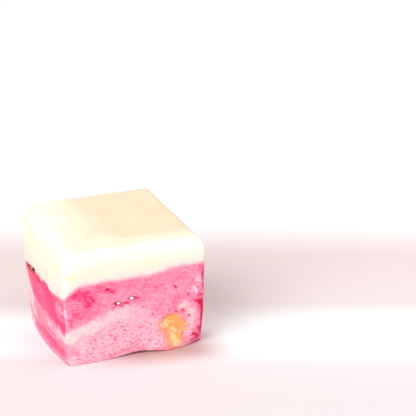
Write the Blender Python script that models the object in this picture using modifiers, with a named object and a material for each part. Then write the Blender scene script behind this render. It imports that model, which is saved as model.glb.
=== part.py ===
"""One cut piece of two-layer nougat: a pink body, a cream layer on it and a nut in the front cut.

Metres, +Z up. The origin is at the middle of the footprint, on the surface that the piece rests on.
-Y is the front cut, where the nut shows, and -X is the smoother cut on the left.
"""

import math

import bmesh
import bpy
from mathutils import Vector

# The block, measured between its corners before they are rounded
TOP_WIDTH = 0.0313
TOP_DEPTH = 0.0330
SHORTER_ON_LEFT = 0.0020
HEIGHT = 0.0259
RISE_TO_BACK = 0.0016
DROP_TO_RIGHT = 0.0006

# How far each wall leans in from the top to the base, and how the left one bows out at its foot.
# The bow widens the footprint on one side, and BOW_BALANCE brings its middle back to the origin.
FRONT_UNDERCUT = 0.0022
BACK_UNDERCUT = 0.0014
LEFT_UNDERCUT = 0.0012
RIGHT_UNDERCUT = 0.0003
LEFT_FOOT_BOW = 0.0016
BOW_BALANCE = 0.00015
WALL_BELLY = 0.0003
FRONT_FOOT_LIFT = 0.0006

# Distance of the outermost cage lines from the edges: they set how round each edge comes out
CORNER_ROUNDING = 0.0024
TOP_ROUNDING = 0.0038
FOOT_ROUNDING = 0.0009
SMOOTHING_LEVELS = 2

# Where the cream meets the pink
BOUNDARY_HEIGHT = 0.0184
LEFT_DIP = 0.0033
LEFT_DIP_MORE_AT_BACK = 0.0010
LEFT_DIP_REACH = 0.0017
RIGHT_STEP = 0.0010
RIGHT_STEP_START = 0.0050
RIGHT_STEP_LENGTH = 0.0045
BACK_DROP = 0.0014
LAYER_GAP = 0.0003
BOUNDARY_CELLS = 22
SLAB_OVERHANG = 0.0032

# The nut: a broken piece with a broad head and a narrower stem, both of them slightly knobbly
NUT_HEAD = Vector((0.0087, -0.0141, 0.0056))
NUT_HEAD_RADII = Vector((0.0031, 0.0042, 0.0027))
NUT_STEM = Vector((0.0094, -0.0136, 0.0033))
NUT_STEM_RADII = Vector((0.0018, 0.0036, 0.0027))
NUT_GAP = 0.0003
NUT_SEGMENTS = 20
NUT_RINGS = 12
KNOBBLE_SHARE = 0.06
KNOBBLE_WAVES = Vector((5.0, 4.0, 3.0))

PINK = (1.0, 0.30, 0.46, 1.0)
CREAM = (1.0, 0.97, 0.84, 1.0)
NUT_YELLOW = (1.0, 0.52, 0.17, 1.0)


def clear_scene():
    for old in list(bpy.data.objects):
        bpy.data.objects.remove(old)


def make_collection(name):
    made = bpy.data.collections.new(name)
    bpy.context.scene.collection.children.link(made)
    return made


def make_material(name, colour, roughness):
    made = bpy.data.materials.new(name)
    made.use_nodes = True
    shader = made.node_tree.nodes["Principled BSDF"]
    shader.inputs["Base Color"].default_value = colour
    shader.inputs["Roughness"].default_value = roughness
    shader.inputs["Metallic"].default_value = 0.0
    return made


def add_object(name, mesh, collection, material=None):
    made = bpy.data.objects.new(name, mesh)
    collection.objects.link(made)
    if material:
        mesh.materials.clear()
        mesh.materials.append(material)
    return made


def hide_helper(helper):
    helper.hide_render = True
    helper.display_type = "WIRE"


def smooth_step(t):
    t = min(max(t, 0.0), 1.0)
    return t * t * (3 - 2 * t)


def block_corner(across, back, up):
    """Moves a cage corner, from -1 to 1 across and back and 0 to 1 up, to its place on the block."""
    below = 1 - up
    left, right = max(-across, 0.0), max(across, 0.0)
    front, rear = max(-back, 0.0), max(back, 0.0)
    belly = WALL_BELLY * math.sin(math.pi * up)

    x = across * (TOP_WIDTH / 2 + belly) + BOW_BALANCE
    x += left * below * (LEFT_UNDERCUT - LEFT_FOOT_BOW * (1 - back * back))
    x -= right * below * RIGHT_UNDERCUT

    y = back * (TOP_DEPTH / 2 + belly) - rear * (1 - across) / 2 * SHORTER_ON_LEFT
    y += front * below * FRONT_UNDERCUT
    y -= rear * below * BACK_UNDERCUT

    z = up * (HEIGHT + back * RISE_TO_BACK / 2 - across * DROP_TO_RIGHT / 2)
    if up == 0 and back == -1:
        z += FRONT_FOOT_LIFT * (1 - across * across)
    return Vector((x, y, z))


def cage_lines(half_size, rounding):
    """Places of the cage's cuts from -1 to 1: one near each edge and three between."""
    edge = 1 - rounding / half_size
    return [-edge, -edge / 2, 0.0, edge / 2, edge]


def block_mesh():
    """A cube cut into a coarse cage, with each corner moved to its place. Subdivision rounds it."""
    cage = bmesh.new()
    bmesh.ops.create_cube(cage, size=2.0)
    cuts = [(Vector((1, 0, 0)), at) for at in cage_lines(TOP_WIDTH / 2, CORNER_ROUNDING)]
    cuts += [(Vector((0, 1, 0)), at) for at in cage_lines(TOP_DEPTH / 2, CORNER_ROUNDING)]
    foot = -1 + 2 * FOOT_ROUNDING / HEIGHT
    shoulder = 1 - 2 * TOP_ROUNDING / HEIGHT
    cuts += [(Vector((0, 0, 1)), at) for at in (foot, (foot + shoulder) / 2, shoulder)]
    for normal, at in cuts:
        whole = cage.verts[:] + cage.edges[:] + cage.faces[:]
        bmesh.ops.bisect_plane(cage, geom=whole, plane_co=normal * at, plane_no=normal)
    for corner in cage.verts:
        across, back, up = corner.co.x, corner.co.y, (corner.co.z + 1) / 2
        corner.co = block_corner(round(across, 6), round(back, 6), round(up, 6))
    mesh = bpy.data.meshes.new("block")
    cage.to_mesh(mesh)
    cage.free()
    mesh.shade_smooth()
    return mesh


def boundary_height(x, y):
    """Height of the cream's underside: low along the left cut, stepped up towards the right."""
    from_left = x - BOW_BALANCE + TOP_WIDTH / 2
    share_right = smooth_step(from_left / TOP_WIDTH)
    share_back = smooth_step((y + TOP_DEPTH / 2) / TOP_DEPTH)
    dip = LEFT_DIP + LEFT_DIP_MORE_AT_BACK * share_back ** 3
    dip *= math.exp(-max(from_left, 0.0) / LEFT_DIP_REACH)
    step = RIGHT_STEP * smooth_step((x - RIGHT_STEP_START) / RIGHT_STEP_LENGTH)
    return BOUNDARY_HEIGHT - dip + step - BACK_DROP * share_right * share_back


def boundary_slab(name, raised, flat_face_z, collection):
    """A slab wider than the block: one face follows the boundary, the other lies flat at a height."""
    bpy.ops.mesh.primitive_grid_add(x_subdivisions=BOUNDARY_CELLS, y_subdivisions=BOUNDARY_CELLS, size=2.0)
    grid = bpy.context.object
    slab = bmesh.new()
    slab.from_mesh(grid.data)
    bpy.data.objects.remove(grid)
    for point in slab.verts:
        x = point.co.x * (TOP_WIDTH / 2 + SLAB_OVERHANG)
        y = point.co.y * (TOP_DEPTH / 2 + SLAB_OVERHANG)
        point.co = Vector((x, y, boundary_height(x, y) + raised))
    extruded = bmesh.ops.extrude_face_region(slab, geom=slab.faces[:])["geom"]
    for element in extruded:
        if isinstance(element, bmesh.types.BMVert):
            element.co.z = flat_face_z
    bmesh.ops.recalc_face_normals(slab, faces=slab.faces[:])
    mesh = bpy.data.meshes.new(name)
    slab.to_mesh(mesh)
    slab.free()
    made = add_object(name, mesh, collection)
    hide_helper(made)
    return made


def nut_lump(name, centre, radii, grown, collection):
    """One rounded lump of the nut, grown all round by the pocket's clearance where it is a cutter."""
    bpy.ops.mesh.primitive_uv_sphere_add(segments=NUT_SEGMENTS, ring_count=NUT_RINGS, radius=1.0)
    lump = bpy.context.object
    for point in lump.data.vertices:
        wave = math.sin(KNOBBLE_WAVES.x * point.co.x + KNOBBLE_WAVES.z * point.co.z)
        knobble = 1 + KNOBBLE_SHARE * wave * math.cos(KNOBBLE_WAVES.y * point.co.y)
        point.co = centre + Vector((r + grown) * knobble * c for r, c in zip(radii, point.co))
    lump.data.shade_smooth()
    lump.name = name
    for holder in list(lump.users_collection):
        holder.objects.unlink(lump)
    collection.objects.link(lump)
    return lump


def boolean(target, name, operation, other):
    cut = target.modifiers.new(name, "BOOLEAN")
    cut.operation = operation
    cut.object = other
    return cut


def round_block(target):
    smoothing = target.modifiers.new("rounding", "SUBSURF")
    smoothing.levels = smoothing.render_levels = SMOOTHING_LEVELS


def make_nut(name, grown, collection):
    """Head and stem joined into one solid."""
    head = nut_lump(name, NUT_HEAD, NUT_HEAD_RADII, grown, collection)
    stem = nut_lump(name + "_stem", NUT_STEM, NUT_STEM_RADII, grown, collection)
    hide_helper(stem)
    boolean(head, "stem", "UNION", stem)
    return head


def main():
    clear_scene()
    parts = make_collection("nougat_piece")
    helpers = make_collection("cutters")
    block = block_mesh()

    outer = add_object("block_guide", block.copy(), helpers)
    round_block(outer)
    hide_helper(outer)

    cream_cutter = boundary_slab("cream_cutter", 0.0, 2 * HEIGHT, helpers)
    pink_cutter = boundary_slab("pink_cutter", LAYER_GAP, -HEIGHT, helpers)
    pocket = make_nut("nut_pocket", NUT_GAP, helpers)
    hide_helper(pocket)

    body = add_object("pink_body", block.copy(), parts, make_material("pink", PINK, 0.6))
    round_block(body)
    boolean(body, "boundary", "DIFFERENCE", cream_cutter)
    boolean(body, "nut_pocket", "DIFFERENCE", pocket)

    layer = add_object("cream_layer", block, parts, make_material("cream", CREAM, 0.45))
    round_block(layer)
    boolean(layer, "boundary", "DIFFERENCE", pink_cutter)

    nut = make_nut("nut", 0.0, parts)
    nut.data.materials.append(make_material("nut", NUT_YELLOW, 0.5))
    boolean(nut, "cut_face", "INTERSECT", outer)
    stem = bpy.data.objects["nut_stem"]
    parts.objects.unlink(stem)
    helpers.objects.link(stem)


main()
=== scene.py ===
import bpy
import numpy as np
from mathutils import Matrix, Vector


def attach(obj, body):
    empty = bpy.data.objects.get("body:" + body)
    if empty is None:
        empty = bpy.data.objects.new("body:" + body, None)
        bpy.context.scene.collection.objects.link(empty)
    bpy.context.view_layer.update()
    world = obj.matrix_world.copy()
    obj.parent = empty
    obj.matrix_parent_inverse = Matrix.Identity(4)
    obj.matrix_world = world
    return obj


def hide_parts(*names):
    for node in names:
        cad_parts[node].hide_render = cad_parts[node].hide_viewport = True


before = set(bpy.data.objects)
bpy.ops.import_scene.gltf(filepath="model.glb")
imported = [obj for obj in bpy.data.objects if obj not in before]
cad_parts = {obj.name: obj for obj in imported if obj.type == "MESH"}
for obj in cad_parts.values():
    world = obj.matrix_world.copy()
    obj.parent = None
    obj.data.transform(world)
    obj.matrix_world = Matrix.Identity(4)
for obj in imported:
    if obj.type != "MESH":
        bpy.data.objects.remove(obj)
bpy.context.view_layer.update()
print("frame loaded")

mm = 0.001  # shapes are worked out in millimetres and scaled once, when a mesh is made


def ease(t):
    # smooth step: 3t^2 - 2t^3 with t held between 0 and 1
    t = np.clip(t, 0, 1)
    return t * t * (3 - 2 * t)


def bell(x, middle, reach):
    # 1 in the middle, easing down to 0 at the reach to both sides
    return ease(1 - np.abs(x - middle) / reach)


def curve(at, points):
    # a smooth curve through a few points: cubic between neighbours, its slope at each from those beside it
    xs, ys = np.array(points, float).T
    slope = np.gradient(ys, xs)
    at = np.clip(at, xs[0], xs[-1])
    k = np.clip(np.searchsorted(xs, at, side="right") - 1, 0, len(xs) - 2)
    gap = xs[k + 1] - xs[k]
    t = (at - xs[k]) / gap
    ends = (1 + 2 * t) * (1 - t) ** 2 * ys[k] + t * t * (3 - 2 * t) * ys[k + 1]
    return ends + gap * (t * (1 - t) ** 2 * slope[k] - t * t * (1 - t) * slope[k + 1])


noiseCells = 32
tilt = np.linalg.qr(np.random.default_rng(5).normal(size=(3, 3)))[0]  # turns the noise away from the walls


def lumps(points, size, seed):
    # gradient noise of about -1 to 1: a random slope at every corner of a cubic lattice, blended by
    # smooth steps between the eight corners round each point
    slopes = np.random.default_rng(seed).normal(size=(noiseCells ** 3, 3))
    scaled = points @ tilt / size
    low = np.floor(scaled).astype(int)
    part = scaled - low
    shares = [1 - ease(part), ease(part)]
    total = 0
    for step in np.ndindex(2, 2, 2):
        x, y, z = np.moveaxis((low + step) % noiseCells, -1, 0)
        slope = slopes[(x * noiseCells + y) * noiseCells + z]
        share = shares[step[0]][..., 0] * shares[step[1]][..., 1] * shares[step[2]][..., 2]
        total = total + share * ((part - step) * slope).sum(axis=-1)
    return total * 1.5


def roughness(points, size, seed):
    # lumps at three sizes, each half as large and half as strong as the one before
    return sum(lumps(points, size / 2 ** k, seed + k) / 2 ** k for k in range(3)) / 1.5


def turned(u, v, degrees):
    # a place given along and beside a direction turned up from the horizontal
    c, s = np.cos(np.radians(degrees)), np.sin(np.radians(degrees))
    return u * c + v * s, v * c - u * s


def fibres(u, v, turn, long, short, seed):
    # noise drawn out along a direction of the wall
    along, beside = turned(u, v, turn)
    return roughness(np.stack([along / long, beside / short, np.zeros_like(along)], -1), 1.0, seed)


def dent(u, v, middle, half, turn=0):
    # r^2 of an ellipse given by its middle, half sizes and turn: below 1 inside it
    along, beside = turned(u - middle[0], v - middle[1], turn)
    return (along / half[0]) ** 2 + (beside / half[1]) ** 2


def brush(u, v, path, width):
    # a brush stroke's cover: full within half a width of its path, none beyond one and a half
    nearest = np.inf
    for (u0, v0), (u1, v1) in zip(path, path[1:] or path):
        du, dv = u1 - u0, v1 - v0
        t = np.clip(((u - u0) * du + (v - v0) * dv) / max(du * du + dv * dv, 1e-9), 0, 1)
        nearest = np.minimum(nearest, np.hypot(u - u0 - t * du, v - v0 - t * dv))
    return ease(1.5 - nearest / width)


def strokes(u, v, rows, together=np.max):
    # several strokes, each as (strength, width, path): the strongest counts, or their sum
    return together([strength * brush(u, v, path, width) for strength, width, path in rows], axis=0)


# the cut block that both layers share
block = {
    "halfWidth": 15.65,
    "halfDepth": 16.5,
    "height": 25.9,
    "shorterOnLeft": 2.0,
    "riseToBack": 1.6,
    "dropToRight": 0.6,
    "frontUndercut": 2.2,
    "backUndercut": 1.4,
    "leftUndercut": 1.2,
    "leftFootBow": 1.25,
    "bowBalance": 0.15,
    "belly": 0.2,
    "rightBelly": 0.12,
    "cornerRound": (1.1, 1.7, 1.7, 1.7),  # front right, back right, back left, front left
    "topRoundDown": 3.0,
    "topRoundIn": 2.3,
    "footRoundUp": 0.25,
    "footRoundIn": 0.35,
    "seamMiddle": 17.4,  # height of the hidden middle of the seam
    "seamRim": 0.012,  # a layer's wall ends this far from it
    "seamGap": 0.05,  # and its hidden surface lies this far off
}
# the foot of the front cut: arched in its middle, swollen beside that, its right end raised and drawn back
frontFoot = {
    "arch": (1.3, 7.2),  # its middle and its reach
    "archLift": 0.72,
    "liftedBelow": 3.0,
    "swelling": (7.8, 7.8),
    "swell": 0.95,
    "swollenBelow": 4.2,
    "end": (11.0, 4.2),  # where it begins, and over what length
    "endLift": 0.62,
    "endTuck": 0.4,
}
# the seam between the layers on the wall, as (way round from the front left corner, height):
# the left cut lies below 0, the front cut from 0 to 31
seamLine = [
    (-64.3, 18), (-56, 18.2), (-48, 17.6), (-41, 17.5), (-36.5, 16.3), (-33, 14.6), (-30.5, 14.3),
    (-27.2, 14.7), (-22.2, 15), (-15.5, 15.2), (-11.6, 15.4), (-10, 14.8), (-8, 14.9), (-5.5, 15.2),
    (-1.3, 15.6), (0, 16.2), (0.8, 16.9), (2.8, 18), (5.7, 18.5), (8.7, 18.6), (12.7, 18.5), (20.7, 18.7),
    (24.7, 19.4), (27.7, 19.5), (31.3, 19.5), (38, 19.1), (46, 19.2), (55, 18.4), (64.3, 18)]
columnStep = {"front": 0.125, "right": 0.34, "back": 0.17, "left": 0.28}
cornerColumns = 12
seamSteps = (0, 0.1, 0.325, 0.55, 0.775)  # the seam's hidden rings, as shares of the way to its rim
cornerBlend = 1.2  # over this many millimetres one side gives way to the next
halfWidth, halfDepth = block["halfWidth"], block["halfDepth"]
around = 4 * (halfWidth + halfDepth)


def outline():
    # The footprint counter-clockwise from the front left: straight sides, and corners that are parabolas.
    # Gives across and back from -1 to 1, and the way round in millimetres.
    size, rounds = np.array([halfWidth, halfDepth]), block["cornerRound"]
    corners = size * [(-1, -1), (1, -1), (1, 1), (-1, 1)]
    sides = [2 * halfWidth, 2 * halfDepth] * 2
    points, ways, start = [], [], 0.0
    for k, step in enumerate(columnStep.values()):
        here, there, after = (corners[(k + n) % 4] for n in range(3))
        before, r = rounds[k - 1], rounds[k]
        straight = sides[k] - before - r
        t = (before + np.linspace(0, straight, int(straight / step), endpoint=False)) / sides[k]
        points.append(here + (there - here) * t[:, None])
        ways.append(start + t * sides[k])
        start += sides[k]
        into = there + (here - there) * r / sides[k]
        out = there + (after - there) * r / sides[(k + 1) % 4]
        t = np.linspace(0, 1, cornerColumns, endpoint=False)[:, None]
        points.append((1 - t) ** 2 * into + 2 * t * (1 - t) * there + t ** 2 * out)
        ways.append(start - r + 2 * r * t[:, 0])
    return (*(np.concatenate(points) / size).T, np.concatenate(ways) % around)


def wrap(way):
    # the way round, counted to both sides of the front left corner
    return (way + around / 2) % around - around / 2


across, back, way = outline()
unseen = np.zeros((len(seamSteps) - 1) * len(way) + 1)  # the hidden rings show nothing
signed = wrap(way)
# on each side a place is given from the side's middle, to the right as one looks at it
local, on, start = {}, {}, 0
for side, half in (("front", halfWidth), ("right", halfDepth), ("back", halfWidth), ("left", halfDepth)):
    local[side] = wrap(way - start - half)
    on[side] = ease((half - np.abs(local[side])) / cornerBlend + 0.5)
    start += 2 * half


def topHeight(a, b):
    return block["height"] + b * block["riseToBack"] / 2 - a * block["dropToRight"] / 2


def place(a, b, z):
    # the leaning, bowing and sloping that makes the block out of a straight one
    up = z / topHeight(a, b)
    below = 1 - up
    bulge = np.sin(np.pi * up)
    left, right = np.maximum(-a, 0), np.maximum(a, 0)
    front, rear = np.maximum(-b, 0), np.maximum(b, 0)
    x = a * halfWidth + block["bowBalance"]
    x = x + (right * block["rightBelly"] - left * block["belly"]) * bulge
    x = x + left * below * (block["leftUndercut"] - block["leftFootBow"] * (1 - b * b))
    y = b * (halfDepth + block["belly"] * bulge) - rear * (1 - a) / 2 * block["shorterOnLeft"]
    y = y + front * below * block["frontUndercut"] - rear * below * block["backUndercut"]
    endFrom, endLength = frontFoot["end"]
    end = ease((x - endFrom) / endLength)
    out = frontFoot["swell"] * bell(x, *frontFoot["swelling"]) - frontFoot["endTuck"] * end
    y = y - out * ease((-b - 0.8) / 0.2) * ease(1 - z / frontFoot["swollenBelow"])
    lift = frontFoot["archLift"] * bell(x, *frontFoot["arch"]) + frontFoot["endLift"] * end
    lift = lift * ease(1 - z / frontFoot["liftedBelow"])
    return np.stack([x, y, z + lift * ease((-b - 0.93) / 0.065)], -1)


wallSeam = curve(signed, seamLine)
wallSeam = wallSeam + 0.1 * roughness(place(across, back, wallSeam), 1.6, 71)
print("block outline:", len(across), "columns")


def pitField(points, pore, seed):
    # One elliptical pit in each cell of a grid over the unrolled wall, shifted, sized and turned at random
    # and bent by noise, (1 - r^2)^0.8 deep. Gives the deepest of the nine nearest, and how near a rim is.
    bentWay = way + pore["bend"] * lumps(points, 1.1, seed + 500)
    bentUp = points[..., 2] + pore["bend"] * lumps(points, 0.9, seed + 501)
    cellsAround = int(round(around / pore["cell"][0]))
    cellQ, cellZ = around / cellsAround, pore["cell"][1]
    rows = int(30 / cellZ) + 6
    rng = np.random.default_rng(seed)
    shape = (cellsAround, rows)
    shiftQ, shiftZ = rng.uniform(0.1, 0.9, shape), rng.uniform(0.1, 0.9, shape)
    size = np.where(rng.random(shape) < pore["share"], rng.uniform(pore["smallest"], 1, shape), 1e-3)
    turn = pore["turn"] + rng.uniform(-1, 1, shape) * pore["turnSpread"]
    column = np.floor(bentWay / cellQ).astype(int)
    row = np.floor(bentUp / cellZ).astype(int)
    depth = rim = 0
    for dq in (-1, 0, 1):
        for dz in (-1, 0, 1):
            i, j = (column + dq) % cellsAround, np.clip(row + dz + 2, 0, rows - 1)
            u, v = turned(bentWay - (column + dq + shiftQ[i, j]) * cellQ,
                          bentUp - (row + dz + shiftZ[i, j]) * cellZ, turn[i, j])
            r = np.hypot(u / pore["long"], v / pore["short"]) / size[i, j]
            depth = np.maximum(depth, np.clip(1 - r * r, 0, 1) ** 0.8 * (0.3 + 0.7 * size[i, j]))
            rim = np.maximum(rim, bell(r, 1.3, 0.4) * size[i, j])
    return depth, rim


# the kinds of pits, and what each kind is like
pitKinds = ("frontFine", "frontSlits", "backFine", "backSlits", "backTears")
pores = {
    "cell": ((0.95, 0.66), (1.55, 1.0), (0.85, 0.62), (1.7, 1.1), (6.0, 3.8)),
    "long": (0.42, 0.58, 0.38, 0.75, 1.25),
    "short": (0.15, 0.2, 0.18, 0.2, 0.34),
    "smallest": (0.25, 0.3, 0.4, 0.35, 0.45),
    "share": (0.66, 0.7, 0.75, 0.65, 0.4),
    "turn": (-19, -19, 26, 28, 27),
    "turnSpread": (28, 26, 25, 22, 15),
    "bend": (0.12, 0.2, 0.18, 0.3, 0.4),
    "depth": (0.08, 0.17, 0.14, 0.34, 0.65),
}
# how strongly the pores, the grain and the knife show on the walls
wall = {
    "poresHighOnFront": 0.42,
    "poresOnBack": 0.85,
    "poresOnSides": 0.2,
    "clusters": 0.55,  # how unevenly the front's pores are gathered
    "grainDepth": 0.12,
    "rimHeight": 0.04,
    "dragDepth": 0.05,  # lines that the knife left
    "inset": 0.12,  # the walls lie this far inside the block, which keeps their unevenness in it
    "slowWaves": 0.06,
    "fineWaves": 0.03,
}
streakInTone = 0.15  # how much the knife's lines show in the marbling
# below this height the front cut is porous, by the place across it
porousBelow = [(-15.6, 0.5), (-13, 2.6), (-10.5, 6), (-5, 7.6), (0, 8.2), (4, 7.5), (8, 5.5), (15.6, 5.5)]

# marks on a side, each as (along, up, half length, half height, turn, depth, redness)
frontMarks = {
    "crease": [(-6.15, 16.55, 0.55, 0.42, -20, 0.18, 1), (-5.15, 15.9, 0.8, 0.24, -32, 0.18, 0.9)],
    "glint pits": [(-4.05, 12.95, 0.9, 0.46, -8, 0.5, 1), (-0.75, 13.68, 0.95, 0.44, -8, 0.5, 1)],
    "round the pits": [
        (-3.05, 12.2, 0.75, 0.38, -35, 0.12, 0.5), (-2.05, 12.88, 0.62, 0.27, -8, 0.18, 0.8),
        (-1.35, 12.3, 0.8, 0.16, -52, 0.12, 0.5), (0.35, 13.55, 0.48, 0.22, -10, 0.16, 0.8)],
    "upper pores": [
        (8.82, 14.75, 0.5, 0.24, -38, 0.24, 1), (4.3, 15.33, 0.6, 0.2, -15, 0.12, 0.5),
        (5.9, 15.7, 0.45, 0.18, -12, 0.11, 0.44), (2.2, 17.35, 0.6, 0.16, -15, 0.09, 0.38),
        (6.7, 14.5, 0.6, 0.15, -12, 0.08, 0.38), (11.85, 12.35, 0.42, 0.24, -45, 0.14, 0.66),
        (1.6, 11.2, 0.5, 0.18, -40, 0.1, 0.44), (-9.3, 14.6, 0.5, 0.2, -30, 0.09, 0.62)],
    "lower pores": [
        (3.8, 9, 0.34, 0.26, -30, 0.14, 0.54), (1.4, 6.35, 0.48, 0.26, -30, 0.12, 0.3),
        (-9.3, 5.25, 0.38, 0.3, -20, 0.12, 0.3), (-7.9, 5.75, 0.38, 0.26, -20, 0.11, 0.3),
        (-4.4, 4.5, 0.65, 0.26, -30, 0.12, 0.3), (-3.9, 5.35, 0.45, 0.22, -20, 0.1, 0.24),
        (-2.1, 6.25, 0.5, 0.2, -25, 0.1, 0.24), (-0.9, 6.3, 0.32, 0.22, -60, 0.1, 0.24),
        (-4.8, 7.95, 0.6, 0.24, -12, 0.08, 0.18), (0.3, 3.2, 0.5, 0.22, -15, 0.1, 0.24),
        (-3, 1.7, 0.38, 0.22, 15, 0.1, 0.36), (-1.8, 1.65, 0.34, 0.2, 10, 0.1, 0.36),
        (-10.4, 2.1, 0.4, 0.22, 30, 0.1, 0.3), (-7.6, 1.8, 0.48, 0.22, 20, 0.1, 0.3)],
    "right of the nut": [
        (9.1, 8.75, 0.45, 0.22, -20, 0.2, 0.66), (10.7, 8.85, 0.42, 0.36, -60, 0.16, 0.66),
        (12.15, 7.25, 0.4, 0.32, -70, 0.18, 0.74), (13.8, 2.3, 0.8, 0.42, -20, 0.2, 0.88),
        (12.95, 2.3, 0.4, 0.22, -25, 0.14, 0.4), (14.4, 1.5, 0.55, 0.7, 0, 0.23, 0.77),
        (14.6, 3.5, 0.4, 0.9, 8, 0.2, 0.66), (13.2, 0.9, 0.6, 0.4, -10, 0.2, 0.55)],
    # crimson down the right edge: the tear, and painted shade as of a narrow gap beside the edge
    "torn edge and gap shade": [
        (14.6, 11.8, 0.5, 0.18, -8, 0.25, 0.9), (14.3, 10.4, 1.2, 0.46, -10, 0.25, 0.8),
        (14.85, 9.95, 0.9, 0.85, -40, 0.32, 1), (15.1, 9.2, 0.55, 1.2, 8, 0.32, 1),
        (15.25, 7.8, 0.44, 1.7, 6, 0.26, 1.1), (15.4, 5.6, 0.6, 4, 0, 0.22, 1.1),
        (15.05, 16.6, 0.2, 1.2, 2, 0.28, 0.8), (15.15, 13.9, 0.25, 0.9, 0, 0.35, 0.8),
        (14, 14.7, 0.4, 0.16, -30, 0.2, 0.3)],
}
# the same torn edge, with its painted shade, on the right wall, where it shows in the silhouette
rightMarks = {
    "torn edge and gap shade": [
        (-16.4, 15.6, 0.5, 1.6, 0, 0.2, 0.1), (-16.4, 11.3, 0.9, 0.9, 0, 0.5, 0.8),
        (-16.4, 9, 0.5, 1.8, 0, 0.2, 0.8), (-16.4, 5.2, 0.4, 2.2, 0, 0.12, 0.5),
        (-16.4, 1.6, 0.6, 1.4, 0, 0.3, 0.5)],
    "small pits": [
        (-6.5, 8.6, 0.35, 0.22, 20, 0.2, 0.5), (4.5, 12.2, 0.3, 0.22, 10, 0.22, 0.6),
        (10.2, 5.1, 0.45, 0.2, 30, 0.2, 0.5), (-11.4, 14.6, 0.4, 0.18, 10, 0.18, 0.5)],
}
leftMarks = {
    "crevice": [(-12.2, 14.05, 2.2, 0.14, 4, 0.4, 0.6), (-9.5, 14.4, 2.2, 0.22, 5, 0.6, 0.5),
                (-7, 14.72, 2, 0.3, 5, 0.85, 0.4), (-5.6, 14.88, 1.2, 0.32, 3, 0.8, 0.3)],
    "red streak": [
        (-1.1, 13.95, 1.9, 0.36, -8, 0.28, 0.9), (-1, 14.1, 0.9, 0.3, -8, 0.25, 1),
        (-8.4, 13.45, 1.6, 0.2, 4, 0.15, 0.4)],
    "notch": [(5.4, 14, 0.9, 0.5, -30, 0.12, 0.3)],
}
nutShape = {
    "centre": (9.05, 4.6),
    "lobes": [(8.05, 6.4, 2.45, 2.05), (9.35, 5.2, 1.65, 2.6), (8.05, 5.0, 1.25, 1.4), (9.15, 3.0, 1.6, 2.4),
              (9.15, 1.75, 1.4, 1.22), (9.7, 1.52, 0.95, 0.95)],  # a middle, a half width and a half height
    "knobble": 0.028,
    "lip": 0.42,  # the face laps this far over the edge of its pocket
    "rimSink": 0.085,  # how far behind the wall its rim lies
    "relief": 0.09,
    "fineRelief": 0.03,
    "headDome": 0.22,
    "stemDome": 0.16,
    "bodyStart": 0.25,  # the body begins this far behind the face
    "bodyDepth": 4.0,
    "bodyClear": 0.3,  # and leaves this much room in its pocket
    "pocketDepth": 4.6,
}


def nutRadius(angle):
    # the nut's outline from its centre: the furthest of its ellipses along each ray, with a knobbly wave
    reach = 0
    cx, cz = nutShape["centre"]
    dx, dz = np.cos(angle), np.sin(angle)
    for ex, ez, rx, rz in nutShape["lobes"]:
        ox, oz, ux, uz = (cx - ex) / rx, (cz - ez) / rz, dx / rx, dz / rz
        a, b, c = ux * ux + uz * uz, ox * ux + oz * uz, ox * ox + oz * oz - 1
        meets = b * b > a * c
        reach = np.maximum(reach, meets * (-b + np.sqrt(np.maximum(b * b - a * c, 0))) / a)
    wave = np.sin(5 * angle + 0.6) + np.sin(9 * angle + 2.1) + 0.6 * np.sin(17 * angle)
    return reach * (1 + nutShape["knobble"] * wave)


def pastNut(u, z):
    # distance past the nut's outline on the front cut, negative inside
    cx, cz = nutShape["centre"]
    dx, dz = u - cx, z - cz
    return np.hypot(dx, dz) - nutRadius(np.arctan2(dz, dx))


def applyMarks(look, side, groups, points):
    bentAlong = local[side] + 0.16 * lumps(points, 0.9, 91)
    bentUp = points[..., 2] + 0.08 * lumps(points, 0.7, 92)
    for along, up, long, high, turn, depth, redness in sum(groups.values(), []):
        r2 = dent(bentAlong, bentUp, (along, up), (long, high), turn)
        inside = np.clip(1 - r2, 0, 1) * on[side]
        glow = ease(1.6 - np.sqrt(r2) / 1.3) * on[side] * 0.45
        look["push"] = np.maximum(look["push"], inside ** 1.2 * depth)
        look["red"] = np.maximum(look["red"], np.clip(inside * 2.2, 0, 1) * redness)
        look["halo"] = np.maximum(look["halo"], glow * redness)


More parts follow.
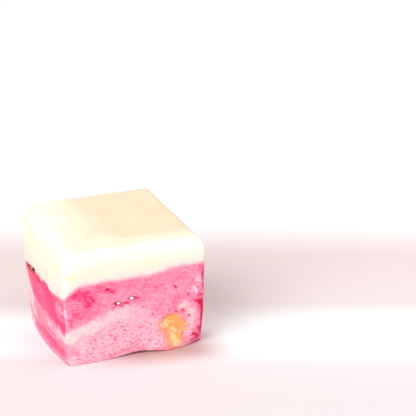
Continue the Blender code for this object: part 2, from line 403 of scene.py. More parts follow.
def wallLook(points, below):
    # What the walls show at each point: how far the surface is pushed in, and the shares that the
    # materials read. The depth below the seam keeps the pores out of the cream.
    z, u = points[..., 2], local["front"]
    front, right, rear, left = on.values()
    inPink = ease(below / 0.8)
    low = ease((curve(u, porousBelow) - z + 1.3 * lumps(points, 3, 11)) / 2.4 + 0.5)
    porous = front * (wall["poresHighOnFront"] * (1 - low) + low) + wall["poresOnSides"] * (left + right)
    porous = porous + rear * (wall["poresOnBack"] + 0.25 * lumps(points, 5, 12))
    porous = np.clip(porous, 0, 1) * inPink

    clusters = 1 + front * wall["clusters"] * lumps(points, 2.6, 13)
    pits, rims, hollows = {}, {}, {}
    for k, name in enumerate(pitKinds):
        pore = {key: values[k] for key, values in pores.items()}
        pits[name], rims[name] = pitField(points, pore, 21 + k)
        pits[name] = pits[name] * clusters
        hollows[name] = pits[name] * pore["depth"]

    def here(fields, kind):
        return fields["front" + kind] * (1 - rear) + fields["back" + kind] * rear

    wide = np.clip(porous * 1.3 - 0.3, 0, 1)  # slits stay away where the fine pits thin out
    tears = rear * inPink
    grain = fibres(u, z, -20, 1.15, 0.5, 31) * front + fibres(local["back"], z, 25, 1.5, 0.6, 34) * rear
    flecks = ease((u - 10.5) / 2.5) * front * ease((z - 9) / 3) * inPink
    fineRim = 0.45 * here(rims, "Fine") + 0.42 * ease((grain - 0.1) / 0.4)
    rim = np.clip(np.maximum(porous, 0.8 * flecks) * fineRim + 0.7 * here(rims, "Slits") * wide, 0, 1)
    # the pits' deeper pink is partly painted shade of the hollows
    finePit = porous * np.clip(here(pits, "Fine") * 1.5, ease((-grain - 0.12) / 0.45) * 0.25, 1)
    push = porous * (here(hollows, "Fine") - grain * wall["grainDepth"]) + here(hollows, "Slits") * wide
    look = {
        "push": push + hollows["backTears"] * tears - rim * wall["rimHeight"],
        "pit": np.clip(finePit + here(pits, "Slits") * wide * 1.6, 0, 1),
        "rim": rim,
        "red": 0.9 * pits["backTears"] * tears + 0.3 * np.clip(pits["backSlits"] * wide * rear - 0.4, 0, 1),
        "halo": 0.3 * rims["backTears"] * tears,
        "porous": porous,
    }
    for side, marks in (("front", frontMarks), ("left", leftMarks), ("right", rightMarks)):
        applyMarks(look, side, marks, points)

    # lines that the knife dragged on the smooth cuts, and the slow unevenness of every wall
    drag = (fibres(local["left"], z, -7, 7.0, 0.55, 41) * left
            + 0.7 * fibres(local["right"], z, 9, 4.0, 0.8, 44) * right)
    waves = wall["slowWaves"] * lumps(points, 5, 32) + wall["fineWaves"] * lumps(points, 1.9, 33)
    look["push"] = look["push"] + wall["dragDepth"] * drag * inPink + wall["inset"] + waves
    look["smooth"] = np.clip(left + right, 0, 1)
    look["streak"] = drag + 0.6 * fibres(local["left"], z, -9, 3.0, 0.3, 46) * left
    # round the nut the wall is even, and the mass is stained orange, furthest to the lower left
    past = pastNut(u, z)
    near = ease(1.4 - past / 0.9) * front
    look["push"] = look["push"] * (1 - near) + wall["inset"] * near
    leftOfNut = ease((nutShape["centre"][0] + 0.5 - u) / 2.5) * ease((7.4 - z) / 2.5)
    blurred = past + 0.25 * lumps(points, 0.8, 36)
    look["orange"] = ease(1.1 - blurred / (0.5 + 1.3 * leftOfNut)) * front * (0.7 + 0.3 * leftOfNut)
    return look


# The marbling of the pink: soft strokes over the unrolled walls, each as (tone, width, strength, path by
# way round and height). Tone 0 is the palest, 1 the deepest.
marbleGround = 0.58
marblingShown = {
    "left ground": [(0.66, 5, 1, [(-31, 9), (-7, 9)])],
    "front cut": [
        (0.33, 3.8, 0.9, [(3, 2.6), (10, 4.5), (19, 5)]), (0.24, 1.2, 0.7, [(0.8, 1.2), (3.2, 4.4)]),
        (0.38, 1.8, 0.8, [(27.8, 1.5), (28.4, 8.5)]),
        (0.62, 1.3, 0.8, [(11.5, 17.4), (14, 17.1), (17.6, 16.9)]),
        (0.56, 1.4, 0.8, [(7.6, 14.6), (10.5, 14.4)]), (0.32, 2, 0.9, [(9, 9.6), (13, 10), (17.5, 9.4)]),
        (0.78, 2, 0.9, [(0.8, 15.6), (3.6, 16), (6.2, 15.7)]),
        (0.72, 2, 0.9, [(0.8, 13.4), (3, 13.2), (6, 13.4)]),
        (1.05, 1.3, 0.9, [(3, 16.6), (4.9, 15.8), (5.4, 14.2)]),
        (0.9, 0.8, 0.8, [(0.7, 10.3), (1.6, 11.3), (3.6, 12.1)]),
        (0.64, 0.7, 0.7, [(1.3, 14.4), (2.3, 14.1)]), (0.66, 0.9, 0.7, [(7.2, 12.8), (8.6, 13.4)]),
        (0.9, 1.3, 0.6, [(8.4, 17.2), (10.4, 16.8)]), (0.7, 1.2, 0.6, [(11.5, 17.3), (16, 17)]),
        (0.24, 1.5, 0.9, [(1.4, 6.9), (4, 8), (7, 8.9), (10, 9.8), (13.6, 10.4)]),
        (0.1, 1, 0.9, [(0.3, 6.5), (1.4, 6.8), (3.4, 7.6), (6.5, 8.6)]),
        (0.62, 0.9, 0.7, [(0.4, 3.3), (1.6, 3)]), (0.42, 0.8, 0.7, [(5, 0.6), (18, 1.4)]),
        (0.32, 0.9, 0.8, [(18.5, 1.2), (22, 2)]), (0.3, 0.6, 0.7, [(29.2, 15.8), (29.6, 15.2)]),
        (0.1, 0.36, 0.8, [(28.8, 13.5), (29.4, 12.9)]), (0.12, 0.3, 0.8, [(29.6, 12.6), (29.2, 12.2)]),
        (0.2, 0.9, 0.8, [(28, 3.2), (28.5, 7)]), (0.55, 0.6, 0.7, [(28.3, 9.8), (29, 9.4)]),
        (0.85, 0.7, 0.8, [(30.8, 9), (30.9, 1)]), (0.74, 0.7, 0.7, [(29.9, 3.2), (29.6, 1)])],
    "left cut": [
        (0.94, 1.7, 1, [(-31, 12.6), (-26, 13), (-20, 13.5), (-15, 13.6), (-11, 13.4), (-8, 13)]),
        (0.91, 1.2, 0.9, [(-8, 13.2), (-5.5, 14), (-1.6, 14.4)]),
        (0.86, 1, 0.9, [(-7, 10.9), (-3, 10.8), (-1.2, 11.4)]),
        (0.62, 0.9, 0.9, [(-5.8, 12.5), (-4.2, 12.2)]),
        (0.92, 1.9, 0.95, [(-23, 10.4), (-15, 10.2), (-8.5, 10)]),
        (0.34, 1.3, 0.8, [(-32, 11.2), (-29.6, 10.6)]),
        (0.16, 1.7, 0.9, [(-32, 8.8), (-28.6, 8), (-26.4, 7.2)]), (0.46, 0.8, 0.8, [(-25, 7.6), (-21, 6.9)]),
        (0.28, 1, 0.9, [(-31, 5.4), (-26, 4.9), (-23, 4.3)]),
        (0.52, 0.8, 0.9, [(-20, 7.5), (-13, 6.9), (-7, 6.2)]),
        (0.42, 0.9, 0.9, [(-12, 6.4), (-8, 6.2), (-4, 6.1)]),
        (0.34, 0.9, 0.9, [(-6.5, 6.2), (-3, 5.9), (0, 6.1)]), (0.12, 0.6, 0.7, [(-0.8, 5.9), (0, 6.1)]),
        (0.72, 0.7, 0.8, [(-6, 8.1), (-1.4, 7.9)]), (0.66, 0.6, 0.8, [(-21.3, 6.7), (-15.5, 5.8)]),
        (1.2, 1.05, 1, [(-9.6, 10), (-4.7, 9.1), (-1.8, 8.7)]),
        (1.15, 1, 0.85, [(-14.2, 13.9), (-12.2, 14), (-10.8, 13.9)]), (1, 0.8, 0.7, [(-8.6, 12.9)]),
        (0.86, 1.1, 0.95, [(-25, 2), (-18, 2.7), (-11.3, 2.8), (-8, 2.3), (-3, 2.1)]),
        (0.3, 1.4, 0.8, [(-31, 2), (-26, 1)]), (0.5, 0.45, 0.8, [(-28, 0), (-2, 0)])],
}
# the right cut and the back don't show in the photograph, and are painted like what shows of their kind
marblingHidden = {
    "right cut": [
        (0.74, 3.4, 0.9, [(31, 10), (48, 10), (66, 11)]),
        (0.94, 1.5, 0.9, [(31, 16.8), (38, 17.2), (46, 16.6), (56, 16.6), (66, 16)]),
        (0.98, 1.1, 0.7, [(40, 15.2), (47, 14.2), (52, 14.6)]), (0.58, 0.9, 0.8, [(34, 15.8), (40, 15.4)]),
        (0.5, 1.2, 0.8, [(32.5, 5), (38, 7), (43, 9), (47, 10)]),
        (0.34, 1, 0.8, [(42, 8.6), (48, 10.2), (53, 12.4), (58, 13.2)]),
        (0.6, 1.2, 0.7, [(45, 3.6), (52, 5.4), (58, 7), (64, 7.4)]), (0.66, 1, 0.7, [(33, 1.2), (44, 1.8)])],
    "back": [(0.78, 1.5, 0.8, [(65, 15.6), (74, 16), (84, 15.2), (95, 12.9)]),
             (0.34, 3, 0.8, [(64, 5), (74, 3.4), (86, 4.6), (96, 6.5)])],
}


def marbleTone(points):
    # the strokes, one over the other, their edges bent by noise and frayed by the knife on smooth cuts
    z = points[..., 2]
    fray = sum(on[side] * fibres(local[side], z, turn, 5.0, 0.45, 57)
               for side, turn in (("left", -7), ("right", 9)))
    bendU = 0.8 * lumps(points, 3.2, 51) + 0.35 * lumps(points, 1.2, 52) + 1.5 * fray
    bendV = 0.45 * lumps(points, 2.6, 53) + 0.3 * lumps(points, 1, 54)
    tone = marbleGround + 0.05 * lumps(points, 4, 55)
    for rows, u in ((marblingHidden, way), (marblingShown, signed)):
        for value, width, strength, path in sum(rows.values(), []):
            cover = strength * brush(u + bendU, z + bendV, path, width)
            tone = tone + (value - tone) * cover
    return tone


def makeMesh(name, shells, material, shares=None):
    # Closed surfaces. Each shell is (first pole, grid of rings, last pole): quads join a ring to the next,
    # and triangles the end rings to their poles.
    points, faces, first = [], [], 0
    for low, grid, high in shells:
        rings, columns = grid.shape[:2]
        ring = np.arange(columns)
        after = (ring + 1) % columns
        row = first + 1 + np.arange(rings - 1)[:, None] * columns
        quads = np.stack([row + ring, row + after, row + after + columns, row + ring + columns], -1)
        last = first + 1 + (rings - 1) * columns
        pole = last + columns
        faces += quads.reshape(-1, 4).tolist()
        fans = [(first, first + 1 + after, first + 1 + ring), (pole, last + ring, last + after)]
        for tip, one, other in fans:
            faces += np.stack([np.full_like(ring, tip), one, other], -1).tolist()
        points += [[low], grid.reshape(-1, 3), [high]]
        first = pole + 1
    mesh = bpy.data.meshes.new(name)
    mesh.from_pydata(np.concatenate(points) * mm, [], faces)
    mesh.validate()
    for key, values in (shares or {}).items():
        mesh.attributes.new(key, "FLOAT", "POINT").data.foreach_set("value", values.astype(np.float32))
    mesh.shade_smooth()
    mesh.materials.append(material)
    made = bpy.data.objects.new(name, mesh)
    bpy.context.scene.collection.objects.link(made)
    print(name, sum(map(len, faces)) - 2 * len(faces), "triangles")
    return made


def outward(points):
    # the surface's normal on a grid of rings: the way round crossed with the way up
    alongRing = np.roll(points, -1, axis=1) - np.roll(points, 1, axis=1)
    normal = np.cross(alongRing, np.gradient(points, axis=0))
    return normal / np.maximum(np.linalg.norm(normal, axis=-1, keepdims=True), 1e-9)


def drawnIn(inset):
    # across and back of the outline, drawn in by the inset
    return across * (1 - inset / halfWidth), back * (1 - inset / halfDepth)


def ringOf(inset, z):
    # one ring of the block at a height, drawn in from the outline
    a, b = drawnIn(inset)
    return place(a, b, z + np.zeros_like(a))


def rising(count, start, length):
    # for each ring: 0 before a start, rising to 1 over a number of rings
    return np.clip((np.arange(count) - start) / (length - 1), 0, 1)[:, None]


def seamRings(rim, raised):
    # the hidden rings of a layer's seam, from its middle out towards the rim
    middle = np.array([0, 0, block["seamMiddle"]])
    return np.array([middle + (rim - middle) * t + [0, 0, raised] for t in seamSteps])


def layerShares(look, grid):
    # what both layers add to the walls' look, so that the mass runs on across the seam
    sideShares(look, grid)
    look["tone"] = marbleTone(grid) + streakInTone * look.pop("streak")
    look["aboveSeam"] = grid[..., 2] - wallSeam


def addPiece(made, node=None):
    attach(made, "root")
    if node:
        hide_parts(node)


class Wire:
    # a socket that takes part in sums: each operator adds one Math node
    def __init__(self, board, socket):
        self.board = board
        self.socket = socket

    def join(self, operation, first, second):
        return self.board.add("Math", {0: first, 1: second}, operation=operation)

    def __add__(self, other):
        return self.join("ADD", self, other)

    def __mul__(self, other):
        return self.join("MULTIPLY", self, other)

    def __sub__(self, other):
        return self.join("SUBTRACT", self, other)

    def __rsub__(self, other):
        return self.join("SUBTRACT", other, self)

    __radd__ = __add__
    __rmul__ = __mul__


class Board:
    # the node board of one material
    def __init__(self, name):
        self.material = bpy.data.materials.new(name)
        self.material.use_nodes = True
        self.tree = self.material.node_tree
        self.tree.nodes.clear()

    def add(self, kind, sockets=None, output=0, **settings):
        node = self.tree.nodes.new("ShaderNode" + kind)
        for key, value in settings.items():
            setattr(node, key, value)
        for key, value in (sockets or {}).items():
            if isinstance(value, Wire):
                self.tree.links.new(value.socket, node.inputs[key])
            elif isinstance(value, tuple):
                node.inputs[key].default_value = (*value, 1)
            else:
                node.inputs[key].default_value = value
        return Wire(self, node.outputs[output]) if len(node.outputs) else node

    def ramp(self, factor, stops):
        wire = self.add("ValToRGB", {"Fac": factor})
        elements = wire.socket.node.color_ramp.elements
        while len(elements) < len(stops):
            elements.new(0.5)
        for element, (position, colour) in zip(elements, stops):
            element.position = position
            element.color = (*colour, 1)
        return wire

    def share(self, name):
        return self.add("Attribute", output="Fac", attribute_name=name)

    def blend(self, factor, first, second, kind="MIX"):
        return self.add("Mix", {0: factor, 6: first, 7: second}, 2, data_type="RGBA", blend_type=kind)

    def between(self, value, low, high, toLow=0, toHigh=1):
        sockets = {"Value": value, "From Min": low, "From Max": high, "To Min": toLow, "To Max": toHigh}
        return self.add("MapRange", sockets, interpolation_type="SMOOTHSTEP")

    def along(self, axis):
        # how far along X, Y or Z a point lies
        return self.add("SeparateXYZ", {0: self.add("TexCoord", output="Object")}, axis)

    def grain(self, size, detail=2.0):
        # noise whose lumps are about the given number of millimetres across, from 0 to 1
        where = self.add("TexCoord", output="Object")
        sockets = {"Vector": where, "Scale": 1 / (size * mm), "Detail": detail, "Roughness": 0.6}
        return self.add("TexNoise", sockets)

    def bump(self, strength, distance, height):
        return self.add("Bump", {"Strength": strength, "Distance": distance * mm, "Height": height})

    def rough(self, size, low, high):
        # a roughness that wanders between two values in lumps of that size
        return self.between(self.grain(size), 0.3, 0.7, low, high)

    def finish(self, **sockets):
        named = {key.replace("_", " "): value for key, value in sockets.items()}
        shader = self.add("BsdfPrincipled", named)
        self.add("OutputMaterial", {"Surface": shader})
        return self.material


pinkTones = [(0.0, (0.93, 0.76, 0.72)), (0.25, (0.93, 0.56, 0.62)), (0.5, (0.93, 0.3, 0.44)),
             (0.75, (0.93, 0.145, 0.3)), (1.0, (0.92, 0.04, 0.185))]
creamTones = [(0.0, (0.95, 0.94, 0.84)), (0.35, (0.93, 0.9, 0.71)), (1.0, (0.93, 0.73, 0.5))]
nearSeam = (0.93, 0.8, 0.72)
onSmoothCuts = (1.0, 0.97, 0.86)  # the pink is warmer where the knife went through smoothly
# what is laid over the marbling, in this order: the share's name, how strongly, and its colour
tints = {
    "rim": (0.82, (0.93, 0.67, 0.8)),
    # the pits' deeper pink is partly painted shade of the hollows
    "pit": (0.7, (0.93, 0.13, 0.3)),
    "halo": (0.9, (0.92, 0.055, 0.195)),
    # the lilac holds a painted highlight down the front left corner, besides lilac streaks by the pits
    "lilac": (0.75, (0.93, 0.6, 0.74)),
    "orange": (0.85, (0.93, 0.33, 0.18)),
    "peach": (0.8, (0.93, 0.62, 0.52)),
    "pale": (0.9, (0.93, 0.66, 0.62)),
    "yellow": (0.6, (0.93, 0.9, 0.42)),
    "red": (1.0, (0.68, 0.003, 0.06)),
    "rust": (0.95, (0.52, 0.03, 0.026)),
    "brown": (1.0, (0.1, 0.016, 0.014)),
}


def massColour(board, shares):
    # The colour of both layers, so that it runs on across the seam: marbled pink below, cream above, with
    # the pink bleeding a little way up.
    fineGrain = board.grain(0.5, 3)
    slowGrain = board.grain(2.2)
    tone = board.share("tone")
    uneven = (fineGrain - 0.5) * 0.8 + (slowGrain - 0.5) * 0.45
    uneven = uneven * (tone * 0.9 + 0.3) * (1 - board.share("smooth") * 0.75)
    pink = board.blend(board.share("smooth"), board.ramp(tone + uneven, pinkTones), onSmoothCuts, "MULTIPLY")
    height = board.share("aboveSeam") + (slowGrain - 0.5) * 1.3 + (fineGrain - 0.5) * 0.7
    warmthAndPaintedLight = board.share("warmthAndPaintedLight") + (board.grain(6) - 0.5) * 0.5
    cream = board.ramp(warmthAndPaintedLight, creamTones)
    cream = board.blend(board.between(height, 2.4, 0.5), cream, nearSeam)
    colour = board.blend(board.between(height, -0.85, 0.8), pink, cream)
    for name, (strength, tint) in tints.items():
        if name in shares:
            colour = board.blend(board.share(name) * strength, colour, tint)
    return colour


def pinkMaterial(shares):
    board = Board("pink nougat")
    porous = board.share("porous")
    bump = board.bump(0.5, 0.12, board.grain(0.32, 3) * (porous * 0.75 + 0.25))
    rough = board.rough(1.1, 0.44, 0.6) + porous * 0.1
    return board.finish(Base_Color=massColour(board, shares), Roughness=rough, Normal=bump,
                        Specular_IOR_Level=0.2)


def creamMaterial(shares):
    board = Board("cream nougat")
    return board.finish(Base_Color=massColour(board, shares), Roughness=board.rough(1.6, 0.34, 0.46),
                        Normal=board.bump(0.15, 0.1, board.grain(0.8)), Specular_IOR_Level=0.45,
                        Coat_Weight=0.3, Coat_Roughness=0.3)


# strokes of colour on the walls, along and up
touches = {
    # a painted highlight down the front left corner, over a paler pink band
    "corner highlight": [
        (0.45, 0.55, [(-0.55, 14.5), (-0.55, 13.2)]), (0.75, 0.55, [(-0.55, 12.7), (-0.55, 11.7)]),
        (0.3, 0.55, [(-0.4, 10.9), (-0.2, 9.8)])],
    "lilac": [(0.35, 0.8, [(-3, 10.8), (-0.9, 11.9)]), (0.7, 0.35, [(13.5, 15.8), (13.9, 15.2)])],
    "crumbs": [
        (0.7, 0.9, [(11.1, 10.1)]), (0.9, 0.75, [(12.3, 8.1)]), (0.6, 0.6, [(10.2, 9.7)]),
        (0.4, 0.65, [(11.6, 5)]), (0.5, 0.4, [(13.7, 12.9)]), (0.3, 0.5, [(11.4, 4)]),
        (0.3, 0.45, [(12.2, 6.2)]), (0.2, 0.7, [(12.1, 9.3)])],
    "crevice": [(0.42, 1.1, [(-12.8, 13.3), (-8.4, 13.6)])],
    "foot": [(0.42, 0.9, [(5.4, 0.3), (9.4, 0)])],
    "rust": [
        (0.95, 0.64, [(-13.4, 13.6), (-9, 13.92), (-4.8, 14.4)]), (0.55, 0.7, [(-13, 13.4), (-7, 13.95)]),
        (0.9, 0.36, [(-3.4, 14.2), (-1.6, 14)]), (0.85, 0.32, [(-0.8, 13.95), (0.9, 13.75)])],
    "brown": [(1, 0.42, [(-8.6, 14.4), (-7.2, 14.6), (-6, 14.75)]),
              (0.6, 0.26, [(-13.4, 14), (-10.6, 14.35), (-7, 14.65)])],
}


def sideShares(look, points):
    # the touches of colour on the walls, and how warm the cream is there, with painted highlights on its
    # front
    front, left, z = local["front"], local["left"], points[..., 2]
    bentUp = z + 0.14 * lumps(points, 0.9, 93)
    bentFront = front + 0.3 * lumps(points, 1, 94)
    bentSigned = signed + 0.45 * lumps(points, 1.4, 97)
    bentLeft = left + 0.7 * lumps(points, 1.5, 98)
    # the lilac: a painted highlight down the front left corner, and lilac streaks by the pits
    cornerHighlight = strokes(bentSigned * 0.3 + signed * 0.7, z, touches["corner highlight"], np.sum)
    byPits = strokes(bentFront, bentUp, touches["lilac"])
    look["lilac"] = np.maximum(np.maximum(cornerHighlight, byPits), 0.6 * brush(front, z, [(-2.4, 11.7)], 0.35))
    look["pale"] = np.clip(strokes(bentFront, bentUp, touches["crumbs"], np.sum), 0, 1)
    look["yellow"] = (0.9 * brush(bentSigned, bentUp, [(0.0, 20.6), (1.4, 20.4)], 0.72)
                      + 0.35 * brush(signed, z, [(1.85, 25.3), (2.3, 25.2)], 0.35))
    aboveSeam = z - wallSeam
    look["peach"] = 0.8 * on["left"] * ease(-signed / 3) * ease(1.2 - aboveSeam / 5.5) * ease(aboveSeam / 0.8)
    inCrevice = strokes(bentLeft, bentUp, touches["crevice"])
    atFoot = strokes(bentFront, bentUp, touches["foot"])
    look["orange"] = np.maximum(look["orange"], np.maximum(inCrevice, atFoot))
    look["rust"] = strokes(bentLeft, bentUp, touches["rust"])
    look["brown"] = strokes(bentLeft, bentUp, touches["brown"])
    # painted highlights: the cream is whiter down the front left corner, and on the front wall just below its
    # shoulder
    corner = (0.3 + 0.14 * on["left"]) * bell(signed, 0, 3)
    shoulder = on["front"] * (0.12 - 0.28 * ease((z - 20.5) / 2.5))
    look["warmthAndPaintedLight"] = 0.32 + 0.28 * on["left"] - corner + shoulder


pinkRows = {"wall": 118, "foot": 5, "base": 8}


def makePinkBody():
    # Rings from the middle of the base out to the foot, up the wall to the seam and back in under the cream.
    footUp, footIn = block["footRoundUp"], block["footRoundIn"]
    rings = [ringOf(halfWidth + (footIn - halfWidth) * t, 0)
             for t in np.linspace(0.1, 1, pinkRows["base"], endpoint=False)]
    rings += [ringOf(footIn * (1 - t) ** 2, footUp * t ** 2)
              for t in np.linspace(0, 1, pinkRows["foot"], endpoint=False)]
    top = wallSeam - block["seamRim"]
    rings += [ringOf(0, footUp + (top - footUp) * t) for t in np.linspace(0, 1, pinkRows["wall"])]
    grid = np.array(rings + [ringOf(0, wallSeam)])
    z = grid[..., 2]
    look = wallLook(grid, wallSeam - z)
    layerShares(look, grid)
    onWall = rising(len(grid), pinkRows["base"], pinkRows["foot"])
    pocket = ease((-pastNut(local["front"], z) - nutShape["lip"]) / 0.25) * on["front"] * onWall
    pushed = grid - outward(grid) * (look.pop("push") * onWall)[..., None]
    pushed[..., 1] += pocket * nutShape["pocketDepth"]
    pushed[..., 2] = np.maximum(pushed[..., 2], 0)
    hidden = seamRings(pushed[-1], -block["seamGap"])[::-1]
    shares = {key: np.concatenate([[0], np.broadcast_to(values, z.shape).ravel(), unseen])
              for key, values in look.items()}
    shell = ([0, 0, 0], np.concatenate([pushed, hidden[:-1]]), hidden[-1][0])
    return makeMesh("pinkNougat", [shell], pinkMaterial(shares), shares)


addPiece(makePinkBody(), "pink_body")

creamRows = {"wall": 34, "shoulder": 14, "top": 44}


def makeCreamLayer():
    # Rings from the hidden seam out to the wall, up it, over the parabolic shoulder and in over the top.
    down, inward = block["topRoundDown"], block["topRoundIn"]
    low = wallSeam + block["seamRim"]
    high = topHeight(across, back) - down
    rings = [ringOf(0, wallSeam)]
    rings += [ringOf(0, low + (high - low) * t) for t in np.linspace(0, 1, creamRows["wall"])]
    rounded = np.linspace(0, 1, creamRows["shoulder"] + 1)[1:]
    insets = [(inward * t ** 2, down * (1 - t) ** 2) for t in rounded]
    insets += [(halfWidth - (halfWidth - inward) * t, 0)
               for t in np.linspace(1, 0, creamRows["top"], endpoint=False)[1:]]
    rings += [ringOf(inset, topHeight(*drawnIn(inset)) - below) for inset, below in insets]
    grid = np.array(rings)
    x, y, z = np.moveaxis(grid, -1, 0)
    look = wallLook(grid, wallSeam - z)
    layerShares(look, grid)
    onTop = rising(len(grid), 1 + creamRows["wall"], creamRows["shoulder"])
    topPush = 0.1 + 0.08 * lumps(grid, 7, 61) + 0.03 * lumps(grid, 2.4, 62)
    push = look.pop("push") * (1 - onTop) + topPush * onTop
    pushed = grid - outward(grid) * push[..., None]
    hidden = seamRings(pushed[0], block["seamGap"])
    for key in ("porous", "orange"):
        del look[key]
    for key in ("red", "brown", "rust", "halo", "pit", "rim", "lilac"):
        look[key] = look[key] * (1 - onTop)
    # the top is whitest along its front and left edges, and warmer and darker towards the back and the right:
    # a painted shade, with pink light thrown into it
    fromEdges = np.minimum(x + halfWidth, y + halfDepth)
    shadeTowardsRight = ease((x + 6) / 10) * ease((fromEdges - 3) / 5)
    towardsFront = ease((-y - 3) / 6) * ease((fromEdges - 0.5) / 3)
    warmth = 0.12 + 0.7 * ease((fromEdges - 1.5) / 13) + 0.48 * shadeTowardsRight + 0.25 * towardsFront
    look["warmthAndPaintedLight"] = look["warmthAndPaintedLight"] + (warmth - look["warmthAndPaintedLight"]) * onTop
    look["brown"] = look["brown"] + 0.4 * ease(1.6 - np.hypot(x + 7.2, y - 3.3) / 0.2) * onTop  # a speck
    shares = {key: np.concatenate([unseen, np.broadcast_to(values, z.shape).ravel(), [values[-1].mean()]])
              for key, values in look.items()}
    shell = (hidden[0][0], np.concatenate([hidden[1:], pushed]), pushed[-1].mean(axis=0))
    return makeMesh("creamNougat", [shell], creamMaterial(shares), shares)


addPiece(makeCreamLayer(), "cream_layer")

nutColours = {"plain": (0.93, 0.4, 0.115), "pale": (0.93, 0.66, 0.34), "upperRimShade": (0.9, 0.19, 0.05),
              "blush": (0.93, 0.33, 0.19), "spot": (0.6, 0.09, 0.04),
              "fade": (0.93, 0.52, 0.38), "tip": (0.95, 0.74, 0.52)}


def nutMaterial():
    board = Board("nut")
    mottle = board.share("light") + (board.grain(1) - 0.5) * 1.8 + (board.grain(0.4) - 0.5) * 0.9
    colour = board.blend(board.between(mottle, 0.1, 1.1), nutColours["plain"], nutColours["pale"])
    for name in ("upperRimShade", "blush", "fade", "tip", "spot"):
        colour = board.blend(board.share(name), colour, nutColours[name])
    return board.finish(Base_Color=colour, Roughness=board.rough(0.9, 0.36, 0.52),
                        Normal=board.bump(0.4, 0.1, board.grain(0.4, 3)), Specular_IOR_Level=0.45)


# paler and darker strokes on the nut's face, across and up: the first pale stroke, on the head's left, is a
# painted highlight, and the tip is painted lighter against the shade near the table
nutTouches = {
    "light": [(0.75, 0.7, [(6.5, 6.9), (6.7, 6.2)]), (0.55, 0.95, [(8.3, 4.6), (8.7, 2.8), (9.2, 1.2)])],
    "fade": [(0.85, 0.55, [(5.7, 6), (5.9, 5)]), (0.6, 0.55, [(10.6, 7.4), (8.9, 8.4)]),
             (0.5, 0.3, [(10.9, 6), (11, 4.6)])],
    "tip": [(0.55, 1, [(9, 0.3), (10.3, 0.6)])],
    "spot": [(0.8, 0.22, [(10.75, 3.4), (10.65, 2.9)]), (0.6, 0.22, [(9.15, 8.2)])],
}


def makeNut():
    # The nut's cut face laps over the edge of its pocket, and its body tapers back as a half ellipsoid.
    # Points are centre + radius(angle) * share, at a depth for each share.
    columns, faceRings, bodyRings = 140, 26, 14
    angle = np.linspace(0, 2 * np.pi, columns, endpoint=False)[::-1]
    radius = nutRadius(angle)
    bodyRadius = radius - nutShape["lip"] - nutShape["bodyClear"]
    inward = np.linspace(0, np.pi / 2, bodyRings + 1)[:-1, None]
    face = np.append(np.linspace(0, 0.99, faceRings)[1:], 1.0)[:, None]  # ends in a narrow fold
    reach = np.concatenate([face * radius, np.cos(inward) * bodyRadius])
    behindFace = nutShape["bodyStart"] + np.sin(inward) * nutShape["bodyDepth"]
    deep = np.concatenate([np.zeros((faceRings, 1)), behindFace])
    cx, cz = nutShape["centre"]
    u = cx + np.cos(angle) * reach
    z = np.maximum(cz + np.sin(angle) * reach, 0.05)
    grid = place(u / halfWidth, -np.ones_like(u), z)
    grid[..., 2] = z
    # the relief of the face dies out towards its rim, where it laps over the wall
    onFace = ease((radius - reach - 0.25) / 0.7) * np.repeat([1, 0], [faceRings, bodyRings])[:, None]
    relief = nutShape["relief"] * lumps(grid, 1.2, 81) + nutShape["fineRelief"] * lumps(grid, 0.5, 82)
    dome = nutShape["headDome"] * ease(1 - dent(u, z, (8.3, 6.2), (2.4, 2.0)) / 1.2)
    dome = dome + nutShape["stemDome"] * brush(u, z, [(8.7, 4.2), (9.2, 1.6)], 0.7)
    grid[..., 1] += nutShape["rimSink"] + deep + onFace * (relief - dome)
    share = np.concatenate([face, np.ones((bodyRings, 1))])
    bentU = u + 0.4 * lumps(grid, 1, 83)
    upperLeft = ease(np.cos(angle - 2.15) * 1.3)
    lowerLeft = ease(np.cos(angle - 3.6))
    shares = {name: strokes(u if name == "spot" else bentU, z, rows, np.sum)
              for name, rows in nutTouches.items()}
    shares["light"] = shares["light"] + 0.12
    # a painted shade along the upper left rim of the face
    shares["upperRimShade"] = share ** 7 * 1.1 * upperLeft
    shares["blush"] = share ** 5 * 0.8 * lowerLeft + share ** 22 * 0.6 * (1 - upperLeft)
    for name in ("upperRimShade", "blush", "fade"):
        shares[name] = np.clip(shares[name], 0, 1)
    shares = {key: np.concatenate([[v[0].mean()], np.broadcast_to(v, z.shape).ravel(), [0.5]])
              for key, v in shares.items()}
    behind = [cx, grid[-1][:, 1].max() + 0.05, cz]
    return makeMesh("nutPiece", [(grid[0].mean(axis=0), grid, behind)], nutMaterial(), shares)


addPiece(makeNut(), "nut")

# small lumps set in the cut walls, each as (side, along it, height, how deep its middle lies,
# half length, half depth, half height, turn)
# the white beads stand in for glints of light in the pits and the crevice: painted highlights
glintBeads = [
    ("front", -3.85, 13.02, 0.26, 0.38, 0.26, 0.24, 8), ("front", -0.85, 13.7, 0.24, 0.46, 0.28, 0.3, -6),
    ("left", -7.8, 14.6, 0.14, 0.5, 0.14, 0.11, 10)]
nutCrumbs = [
    ("front", 11.65, 5.15, 0.12, 0.56, 0.22, 0.4, 15), ("front", 11.3, 4.1, 0.12, 0.5, 0.2, 0.34, -25),
    ("front", 11.2, 10.05, 0.2, 0.52, 0.22, 0.36, 25), ("front", 11.95, 8.2, 0.2, 0.38, 0.22, 0.52, 15),
    ("front", 10.25, 9.6, 0.2, 0.38, 0.2, 0.28, -15), ("front", 12.25, 6.3, 0.2, 0.3, 0.2, 0.36, 0)]
crumbColours = {"plain": (0.93, 0.57, 0.49), "dark": (0.93, 0.45, 0.42), "low": (0.93, 0.44, 0.24)}


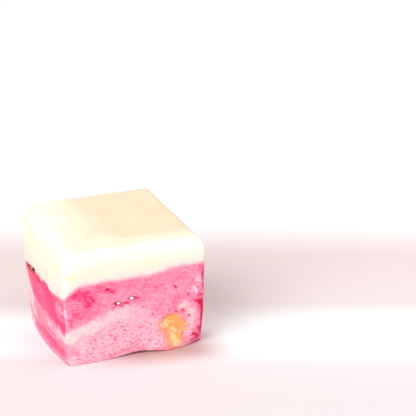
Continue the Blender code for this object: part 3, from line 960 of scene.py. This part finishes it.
def makeLumps(name, rows, material, seed):
    # knobbly ellipsoids: centre + half sizes * unit sphere * (1 + noise), turned in the plane of their wall
    rings, columns = 9, 18
    rise = np.linspace(-np.pi / 2, np.pi / 2, rings + 2)[1:-1, None]
    about = np.linspace(0, 2 * np.pi, columns, endpoint=False)
    level = np.cos(rise)
    unit = np.stack([level * np.cos(about), level * np.sin(about), np.sin(rise) + 0 * about], -1)
    shells = []
    for k, (side, along, up, sunk, length, depth, height, turn) in enumerate(rows):
        knobble = 1 + 0.16 * lumps(unit * 3 + 7 * k, 2.0, seed)[..., None]

        def settle(points):
            l, d, u = (points * [length, depth, height]).T
            l, u = turned(l, u, -turn)
            if side == "front":
                return np.stack([l, d + sunk, u], -1) + place(along / halfWidth, np.array(-1.0), up)
            return np.stack([d + sunk, -l, u], -1) + place(np.array(-1.0), -along / halfDepth, up)

        grid = settle((unit * knobble).reshape(-1, 3)).reshape(unit.shape)
        poles = settle(np.array([[0, 0, -1.0], [0, 0, 1.0]]))
        shells.append((poles[0], grid, poles[1]))
    return makeMesh(name, shells, material)


# white glossy beads that stand in for glints: painted highlights
def glintMaterial():
    board = Board("white glint")
    return board.finish(Base_Color=(0.96, 0.96, 0.96), Roughness=board.rough(0.3, 0.12, 0.25),
                        Normal=board.bump(0.2, 0.05, board.grain(0.2)), Coat_Weight=0.6, Coat_Roughness=0.08)


def crumbMaterial():
    board = Board("nut crumb")
    darker = board.between(board.grain(0.5), 0.35, 0.7)
    colour = board.blend(darker, crumbColours["plain"], crumbColours["dark"])
    colour = board.blend(board.between(board.along("Z"), 6.3 * mm, 5.2 * mm), colour, crumbColours["low"])
    return board.finish(Base_Color=colour, Roughness=board.rough(0.6, 0.45, 0.62),
                        Normal=board.bump(0.4, 0.1, board.grain(0.3, 3)), Specular_IOR_Level=0.4)


addPiece(makeLumps("glintBeads", glintBeads, glintMaterial(), 95))
addPiece(makeLumps("nutCrumbs", nutCrumbs, crumbMaterial(), 96))

# table, light and camera
studio = {
    "floorHalf": 2.5,
    "floorTints": [  # how far behind the piece, in metres, and the table's colour there
        (-0.031, (0.8, 0.73, 0.74)), (-0.017, (0.83, 0.77, 0.775)), (-0.011, (0.92, 0.965, 0.955)),
        (0.004, (0.93, 0.97, 0.96)), (0.014, (0.81, 0.71, 0.7)), (0.045, (0.79, 0.67, 0.66)),
        (0.062, (0.9, 0.86, 0.86)), (0.08, (0.95, 0.94, 0.94))],
    "contactTint": (0.54, 0.36, 0.345),  # the soft shade before the arch of the foot
    "contactFront": (-0.0225, -0.014),  # where it fades out on its four sides
    "contactBack": (-0.008, -0.012),
    "contactLeft": (-0.015, 0.003),
    "contactRight": (0.0235, 0.011),
    "contactSlant": 0.2,
    "ambient": (1.0, 0.985, 0.985),
    "ambientStrength": 0.64,
    "windowFrom": (-0.72, -0.36, 0.58),
    "windowStrength": 2.35,
    "windowWidth": 50,  # degrees
    "softboxAt": (0.2, -0.25, 0.36),
    "softboxSize": 0.4,
    "softboxPower": 0.52,
}
view = {"place": (-0.08532, -0.2473, 0.1219), "heading": 23.715, "pitch": 19.75, "lens": 112.5}


def link(name, data, at=(0, 0, 0), turn=None):
    made = bpy.data.objects.new(name, data)
    made.location = at
    if turn:
        made.rotation_euler = turn.to_track_quat("-Z", "Y").to_euler()
    bpy.context.scene.collection.objects.link(made)
    return made


def makeFloor():
    half = studio["floorHalf"]
    mesh = bpy.data.meshes.new("floor")
    corners = [(-half, -half, 0), (half, -half, 0), (half, half, 0), (-half, half, 0)]
    mesh.from_pydata(corners, [], [(0, 1, 2, 3)])
    board = Board("pale table")
    x, y = board.along("X"), board.along("Y")
    heading = np.radians(view["heading"])
    behind = x * np.sin(heading) + y * np.cos(heading)
    bands = studio["floorTints"]
    low, high = bands[0][0], bands[-1][0]
    stops = [((at - low) / (high - low), tint) for at, tint in bands]
    colour = board.ramp((behind - low) * (1 / (high - low)), stops)
    contact = board.between(y + x * studio["contactSlant"], *studio["contactFront"])
    contact = contact * board.between(y, *studio["contactBack"])
    for side in ("Left", "Right"):
        contact = contact * board.between(x, *studio["contact" + side])
    colour = board.blend(contact, colour, studio["contactTint"])
    mesh.materials.append(board.finish(Base_Color=colour, Roughness=0.6, Specular_IOR_Level=0.3))
    link("floor", mesh)


def makeLight(name, kind, power, at):
    # a light that looks at the piece
    light = bpy.data.lights.new(name, kind)
    light.energy = power
    link(name, light, at, -Vector(at))
    return light


def makeLights():
    world = bpy.data.worlds.new("studio")
    world.use_nodes = True
    background = world.node_tree.nodes["Background"]
    background.inputs["Color"].default_value = (*studio["ambient"], 1)
    background.inputs["Strength"].default_value = studio["ambientStrength"]
    bpy.context.scene.world = world
    window = makeLight("window", "SUN", studio["windowStrength"], studio["windowFrom"])
    window.angle = np.radians(studio["windowWidth"])
    softbox = makeLight("softbox", "AREA", studio["softboxPower"], studio["softboxAt"])
    softbox.size = studio["softboxSize"]


def makeCamera():
    data = bpy.data.cameras.new("camera")
    data.lens = view["lens"]
    data.sensor_width = 36
    data.clip_start, data.clip_end = 0.01, 20
    camera = link("camera", data, view["place"])
    camera.rotation_euler = np.radians([90 - view["pitch"], 0, -view["heading"]])
    bpy.context.scene.camera = camera


makeFloor()
makeLights()
makeCamera()
bpy.context.scene.view_settings.view_transform = "Standard"
print("table, lights and camera placed")
